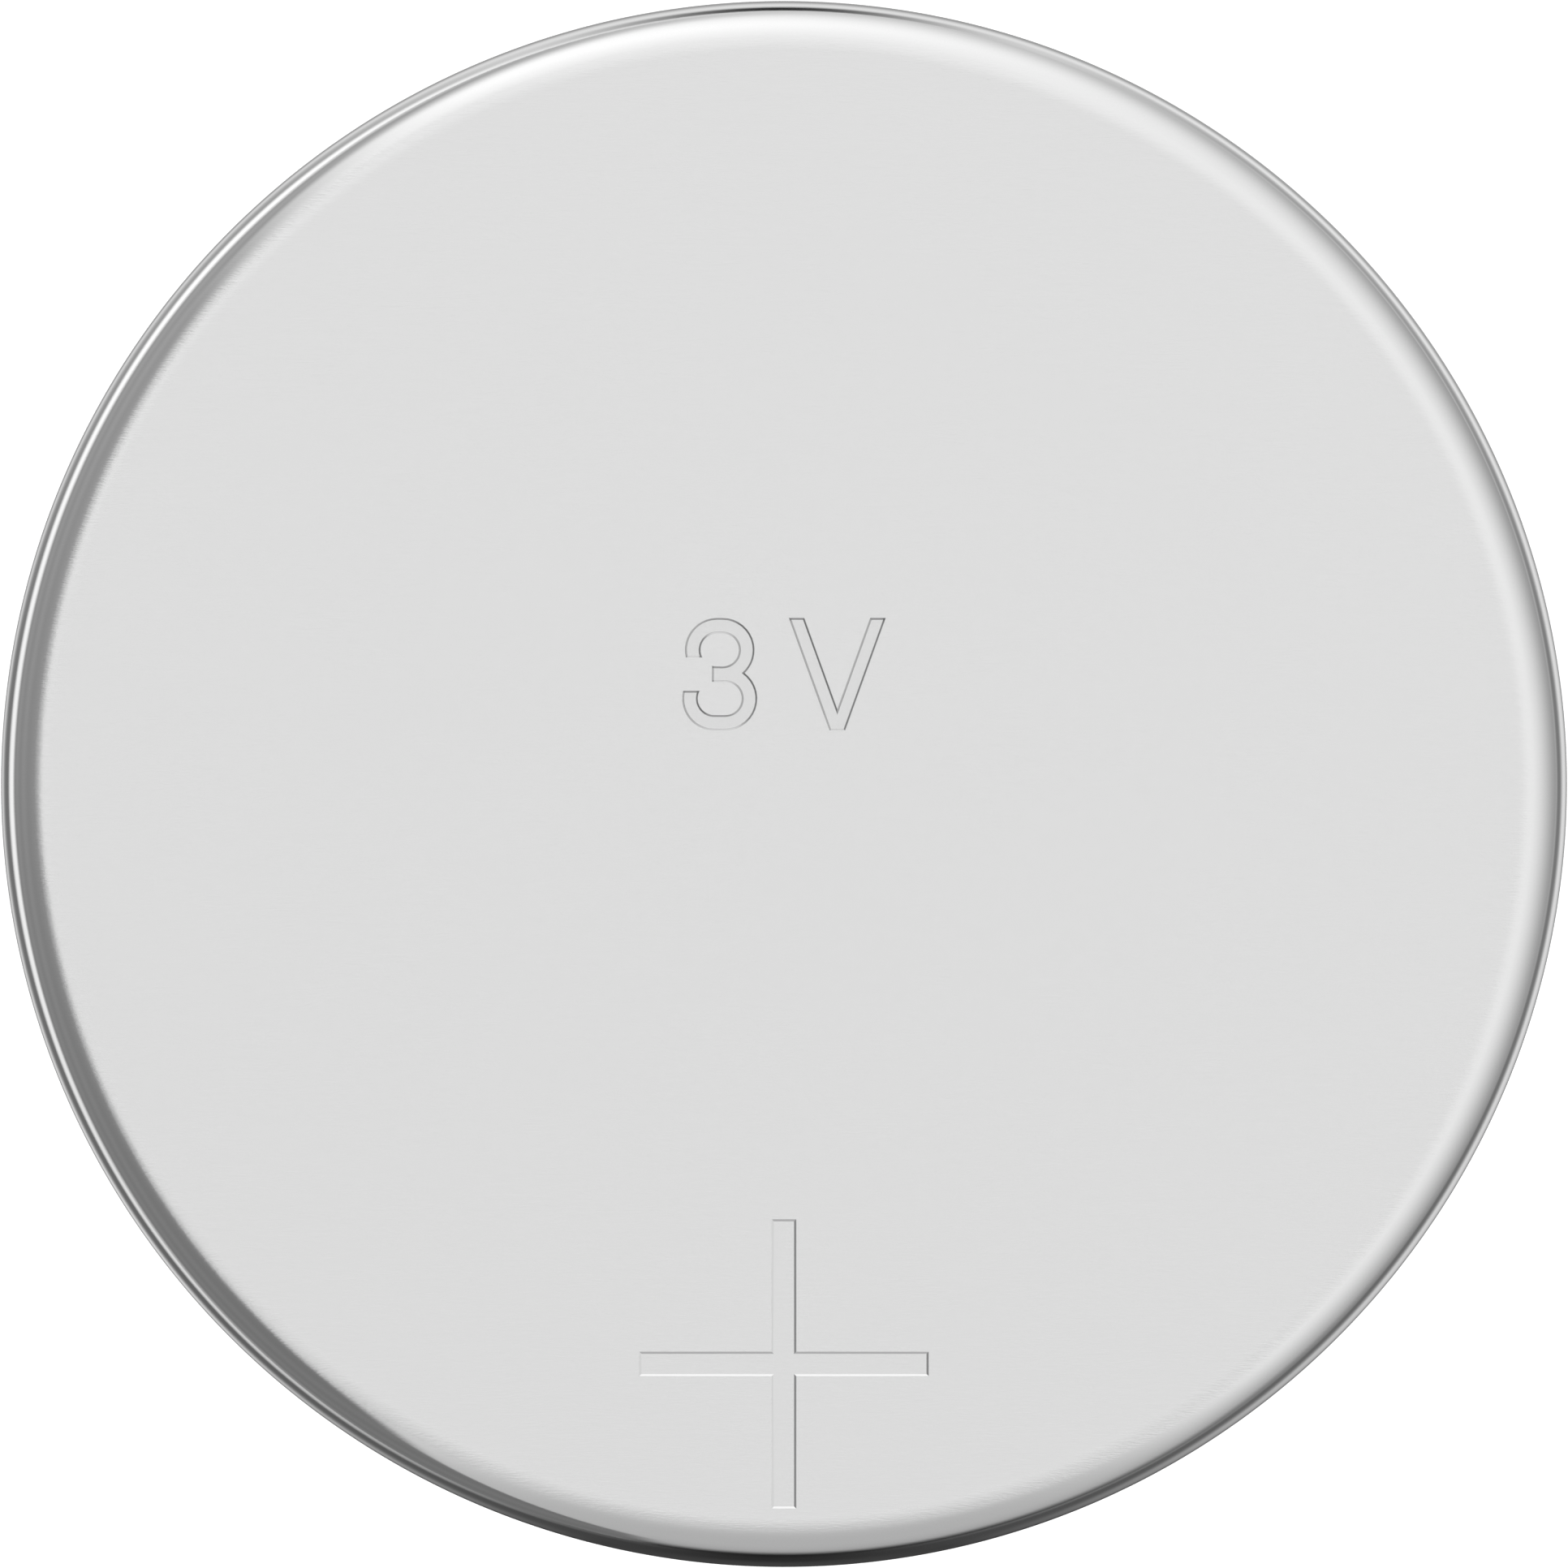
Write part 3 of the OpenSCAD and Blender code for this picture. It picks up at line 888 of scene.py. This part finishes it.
def cap_shell():
    """The drawn negative cap."""
    shell = Shell()
    profile = cap_profile()
    tips = [shell.add((0.0, 0.0, profile[i][1]), (0.0, 0.0), 0.0, 0.0) for i in (0, -1)]
    wall_r = skirt_r - SHOULDER_W
    rings = []
    reach = 0.0
    for i, point in enumerate(profile[1:-1], 1):
        reach += math.dist(point, profile[i - 1])
        burnish = min(1.0, max(0.0, (point[0] - wall_r + CAP_EDGE_R) / CAP_POLISH_RUN))
        rings.append(shell.ring(point[0], point[1], reach, burnish, 0.0))
    for first, second in zip(rings, rings[1:]):
        shell.band(second, first)
    for i in range(TURN_STEPS):
        after = (i + 1) % TURN_STEPS
        shell.faces.append((tips[0], rings[0][after], rings[0][i]))
        shell.faces.append((tips[1], rings[-1][i], rings[-1][after]))
    for i in sharp_corners(profile[1:-1], closed=False):
        shell.crease(rings[i])
    return shell.piece("cap_shell")


def open_sky(tree, x, y, z, towards_front):
    """The tone of the sky outside the panel: darker near the horizon, brighter on the far side,
    and shaded at the front, most of all near the horizon there."""
    height = math_node(tree, "MAXIMUM", math_node(tree, "DIVIDE", z, FALL_HEIGHT), 0.0)
    height = math_node(tree, "POWER", math_node(tree, "MINIMUM", height, 1.0), FALL_POWER)
    tone = mix(tree, height, HORIZON_TONE, 1.0)
    tone = math_node(tree, "MULTIPLY", tone, ease(tree, z, ZENITH_START, 1.0, 1.0, ZENITH_TONE))
    far = math_node(tree, "MULTIPLY", x, -math.sin(math.radians(FAR_TURN)))
    far = math_node(tree, "MULTIPLY_ADD", y, math.cos(math.radians(FAR_TURN)), far)
    far = math_node(tree, "POWER", math_node(tree, "MAXIMUM", far, 0.0), FAR_POWER)
    tone = math_node(tree, "MULTIPLY", tone, math_node(tree, "MULTIPLY_ADD", far, FAR_GAIN, 1.0))
    shade = ease(tree, towards_front, *FRONT_REACH)
    shade = math_node(tree, "MULTIPLY", shade, ease(tree, y, *FRONT_SIDE))
    shade = math_node(tree, "MULTIPLY", shade, ease(tree, z, *FRONT_RISE, FRONT_LEAST, 1.0))
    tone = math_node(tree, "MULTIPLY", tone, math_node(tree, "MULTIPLY_ADD", shade, -FRONT_SHADE, 1.0))
    low = math_node(tree, "POWER", math_node(tree, "MAXIMUM", towards_front, 0.0), FRONT_LOW_POWER)
    low = math_node(tree, "MULTIPLY", low, ease(tree, z, *FRONT_LOW_HEIGHT))
    return math_node(tree, "MULTIPLY", tone, math_node(tree, "MULTIPLY_ADD", low, -FRONT_LOW_SHADE, 1.0))


def panel_share(tree, x, y, z):
    """How much of a direction the panel on the left fills. Its edge leans away from the middle
    of the left side, is softer on the far side, and spreads near the floor at both ends."""
    far = math_node(tree, "MAXIMUM", y, 0.0)
    lean = math_node(tree, "MULTIPLY", math_node(tree, "ABSOLUTE", y), PANEL_LEAN)
    edge = math_node(tree, "MULTIPLY_ADD", y, PANEL_SKEW, lean)
    edge = math_node(tree, "ADD", edge, PANEL_EDGE)
    for rise, side, foot in (
        (PANEL_FAR_FOOT_RISE, PANEL_FAR_SIDE, PANEL_FAR_FOOT),
        (PANEL_NEAR_FOOT_RISE, PANEL_NEAR_SIDE, PANEL_NEAR_FOOT),
    ):
        spread = ease(tree, z, *rise, 0.0, foot)
        spread = math_node(tree, "MULTIPLY", spread, ease(tree, y, *side))
        edge = math_node(tree, "SUBTRACT", edge, spread)
    inside = math_node(tree, "SUBTRACT", math_node(tree, "MULTIPLY", x, -1.0), edge)
    blur = math_node(tree, "MULTIPLY_ADD", far, PANEL_FAR_BLUR, PANEL_BLUR)
    return ease(tree, inside, math_node(tree, "MULTIPLY", blur, -1.0), blur)


def sky_tone(tree, direction):
    """The studio above the floor, as a tone by direction."""
    parts = node(tree, "ShaderNodeSeparateXYZ", {"Vector": direction})
    x, y, z = (parts.outputs[axis] for axis in "XYZ")
    level = node(tree, "ShaderNodeCombineXYZ", {"X": x, "Y": y}).outputs[0]
    around = node(tree, "ShaderNodeVectorMath", {0: level}, operation="NORMALIZE").outputs[0]
    towards_far = node(tree, "ShaderNodeSeparateXYZ", {"Vector": around}).outputs["Y"]
    towards_front = math_node(tree, "MULTIPLY", towards_far, -1.0)
    panel = math_node(tree, "POWER", PANEL_FAR_GAIN, towards_far)
    fold = math_node(tree, "MULTIPLY", math_node(tree, "SUBTRACT", z, PANEL_FOLD_START), math.tau)
    fold = math_node(tree, "COSINE", math_node(tree, "DIVIDE", fold, PANEL_FOLD_PITCH))
    fold = math_node(tree, "MULTIPLY_ADD", fold, PANEL_FOLD, 1.0)
    panel = math_node(tree, "MULTIPLY", panel, math_node(tree, "MULTIPLY", fold, PANEL_TONE))
    tone = mix(tree, panel_share(tree, x, y, z), open_sky(tree, x, y, z, towards_front), panel)
    strip = ease(tree, z, STRIP_HEIGHT, 0.0)
    strip = math_node(tree, "MULTIPLY", strip, ease(tree, x, *STRIP_LEFT))
    strip = math_node(tree, "MULTIPLY", strip, ease(tree, y, *STRIP_NEAR))
    return mix(tree, strip, tone, STRIP_TONE)


def studio_world():
    """Soft studio light all round, which the camera itself sees as plain white."""
    world = bpy.data.worlds.new("studio")
    world.use_nodes = True
    tree = world.node_tree
    tree.nodes.clear()
    direction = node(tree, "ShaderNodeTexCoord").outputs["Generated"]
    tone = sky_tone(tree, direction)
    paths = node(tree, "ShaderNodeLightPath").outputs
    tone = mix(tree, math_node(tree, "MINIMUM", paths["Diffuse Depth"], 1.0), tone, SOFT_LIGHT)
    tone = mix(tree, paths["Is Camera Ray"], tone, 1.0)
    colour = node(tree, "ShaderNodeCombineColor", {"Red": tone, "Green": tone, "Blue": tone}).outputs[0]
    light = node(tree, "ShaderNodeBackground", {"Color": colour, "Strength": 1.0})
    out = node(tree, "ShaderNodeOutputWorld")
    tree.links.new(light.outputs["Background"], out.inputs["Surface"])
    world.cycles.sampling_method = "NONE"
    bpy.context.scene.world = world


def sheet_object(name, half_size, height):
    """A flat square on the level."""
    mesh = bpy.data.meshes.new(name)
    corners = [(x, y, height) for x, y in ((-1, -1), (1, -1), (1, 1), (-1, 1))]
    mesh.from_pydata([(x * half_size, y * half_size, z) for x, y, z in corners], [], [(0, 1, 2, 3)])
    made = bpy.data.objects.new(name, mesh)
    bpy.context.scene.collection.objects.link(made)
    return made


def floor():
    """The pale floor. The camera sees it a little brighter than its light makes it."""
    made = sheet_object("floor", FLOOR_HALF, 0.0)
    paint, tree, out = material("pale_floor")
    matt = node(tree, "ShaderNodeBsdfDiffuse", {"Color": grey(FLOOR_TONE)})
    seen = node(tree, "ShaderNodeLightPath").outputs["Is Camera Ray"]
    lift = math_node(tree, "MULTIPLY", seen, FLOOR_LIFT)
    glow = node(tree, "ShaderNodeEmission", {"Color": grey(1.0), "Strength": lift})
    both = node(tree, "ShaderNodeAddShader", {0: matt.outputs[0], 1: glow.outputs[0]})
    tree.links.new(both.outputs[0], out.inputs["Surface"])
    made.data.materials.append(paint)


def round_the_cell(tree, turn, values):
    """A value that changes round the cell. The values are spaced evenly, from the right
    anticlockwise."""
    ramp = tree.nodes.new("ShaderNodeValToRGB")
    ramp.color_ramp.interpolation = "EASE"
    stops = ramp.color_ramp.elements
    values = tuple(values) + (values[0],)
    stops[0].color = grey(values[0])
    stops[1].color = grey(values[-1])
    for i, value in enumerate(values[1:-1], 1):
        stops.new(i / (len(values) - 1)).color = grey(value)
    tree.links.new(turn, ramp.inputs["Fac"])
    return node(tree, "ShaderNodeRGBToBW", {"Color": ramp.outputs["Color"]}).outputs[0]


def off_turn(tree, turn, middle):
    """How far a direction lies to either side of another, both as shares of a full turn."""
    return math_node(tree, "ABSOLUTE", math_node(tree, "SUBTRACT", turn, middle))


def card_edge(tree, turn, distance, places, blur):
    """A soft edge on the card, at its own distance from the wall on each side of the cell."""
    edge = round_the_cell(tree, turn, places)
    return ease(tree, math_node(tree, "DIVIDE", edge, distance), *blur)


def gloss_card():
    """A card on the floor that shows only in the metal's gloss: a painted reflection of the floor,
    with dark rings, pale fields and a painted shadow round and under the cell.
    """
    made = sheet_object("gloss_card", FLOOR_HALF, CARD_HEIGHT)
    for ray in ("camera", "diffuse", "transmission", "volume_scatter", "shadow"):
        setattr(made, "visible_" + ray, False)
    paint, tree, out = material("gloss_card_tones")
    place = millimetres(tree)
    length = node(tree, "ShaderNodeVectorMath", {0: place}, operation="LENGTH").outputs["Value"]
    distance = math_node(tree, "SUBTRACT", length, cell_r / MM)
    parts = node(tree, "ShaderNodeSeparateXYZ", {"Vector": place})
    turn = math_node(tree, "ARCTAN2", parts.outputs["Y"], parts.outputs["X"])
    turn = math_node(tree, "FRACT", math_node(tree, "DIVIDE", turn, math.tau))
    front = ease(tree, off_turn(tree, turn, FRONT_TURN), 0.0, FRONT_SPREAD, FRONT_TONE, 1.0)
    far = math_node(tree, "MULTIPLY", round_the_cell(tree, turn, CARD_FAR), front)
    ring = round_the_cell(tree, turn, CARD_RING)
    ring = math_node(tree, "MULTIPLY", ring, math_node(tree, "SQRT", front))
    near = round_the_cell(tree, turn, CARD_NEAR)
    near = math_node(tree, "MULTIPLY", near, math_node(tree, "POWER", front, NEAR_FRONT_POWER))
    # A painted contact shadow darkens the card close to the wall
    clear = card_edge(tree, turn, distance, SHADE_END, SHADE_BLUR)
    near = math_node(tree, "MULTIPLY", near, mix(tree, clear, WALL_SHADE, 1.0))
    near = math_node(tree, "MAXIMUM", near, NEAR_LEAST)
    tone = mix(tree, card_edge(tree, turn, distance, RING_START, START_BLUR), near, ring)
    tone = mix(tree, card_edge(tree, turn, distance, RING_END, END_BLUR), tone, far)
    slit = ease(tree, distance, *SLIT_INSIDE)
    slit = math_node(tree, "MULTIPLY", slit, ease(tree, distance, *SLIT_OUTSIDE))
    slit = math_node(tree, "MULTIPLY", slit, ease(tree, off_turn(tree, turn, SLIT_TURN), *SLIT_SPREAD))
    tone = mix(tree, slit, tone, SLIT_TONE)
    # A painted shadow of the cell, nearly black under it
    tone = math_node(tree, "MULTIPLY", tone, ease(tree, distance, *UNDER_SHADOW_EDGE, UNDER_SHADOW_TONE, 1.0))
    # Light that the metal throws on the floor finds the floor's own shade here
    matt_bounces = node(tree, "ShaderNodeLightPath").outputs["Diffuse Depth"]
    tone = mix(tree, math_node(tree, "MINIMUM", matt_bounces, 1.0), tone, SHADED_FLOOR_TONE)
    glow = node(tree, "ShaderNodeEmission", {"Color": grey(1.0), "Strength": tone})
    tree.links.new(glow.outputs[0], out.inputs["Surface"])
    made.data.materials.append(paint)


def camera():
    """A long lens straight above, with the top of the face at the top of the picture."""
    data = bpy.data.cameras.new("camera")
    made = bpy.data.objects.new("camera", data)
    bpy.context.scene.collection.objects.link(made)
    edge_centre = face_roll()[1]
    wall_top = edge_centre[1]
    half_frame = cell_r * (FRAME_PX / 2) / OUTLINE_PX
    made.location = (0.0, 0.0, CAMERA_HEIGHT)
    data.sensor_width = SENSOR
    data.lens = SENSOR / 2 * (CAMERA_HEIGHT - wall_top) / half_frame
    data.clip_start = CLIP_START
    data.clip_end = CLIP_END
    bpy.context.scene.camera = made


def dress(made, finish):
    """Gives a piece its finish."""
    made.data.materials.clear()
    made.data.materials.append(finish)


def put_in_place(made, finish, node_name):
    """Gives a piece of this script its finish and its body, and hides the imported node that it stands
    for.
    """
    dress(made, finish)
    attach(made, "root")
    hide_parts(node_name)


camera()
studio_world()
floor()
gloss_card()

grain = brushed_grain_group()
clouds = cloudy_tone_group()
can_finish = {"tone": 0.73, "face_rough": 0.22, "edge_rough": 0.07, "wall_rough": 0.2, "anisotropy": 0.65}
cap_finish = {"tone": 0.7, "face_rough": 0.32, "edge_rough": 0.12, "wall_rough": 0.2, "anisotropy": 0.4}
can_steel = drawn_steel("can_steel", grain, clouds, **can_finish)
cap_steel = drawn_steel("cap_steel", grain, clouds, **cap_finish)
put_in_place(can_shell(), can_steel, "positive_can")
gasket_plastic = moulded_plastic("gasket_plastic", clouds)
put_in_place(seal_ring(), gasket_plastic, "gasket")
put_in_place(cap_shell(), cap_steel, "negative_cap")

ring_finish = {"dark": grey(0.55), "light": grey(0.66), "roughness": 0.3, "line_width": 0.015}
ring_steel = rolled_metal("ring_steel", grain, clouds, **ring_finish)
lithium_finish = {
    "dark": (0.5, 0.51, 0.53, 1.0),
    "light": (0.64, 0.65, 0.67, 1.0),
    "roughness": 0.45,
    "line_width": 0.03,
}
lithium_metal = rolled_metal("lithium_metal", grain, clouds, **lithium_finish)
dress(nodes["cathode_ring"], ring_steel)
dress(nodes["lithium_disc"], lithium_metal)
dress(nodes["cathode_pellet"], pressed_powder("cathode_mix", clouds))
dress(nodes["separator"], fibre_felt("separator_felt", grain, clouds))

bpy.context.scene.view_settings.view_transform = "Standard"
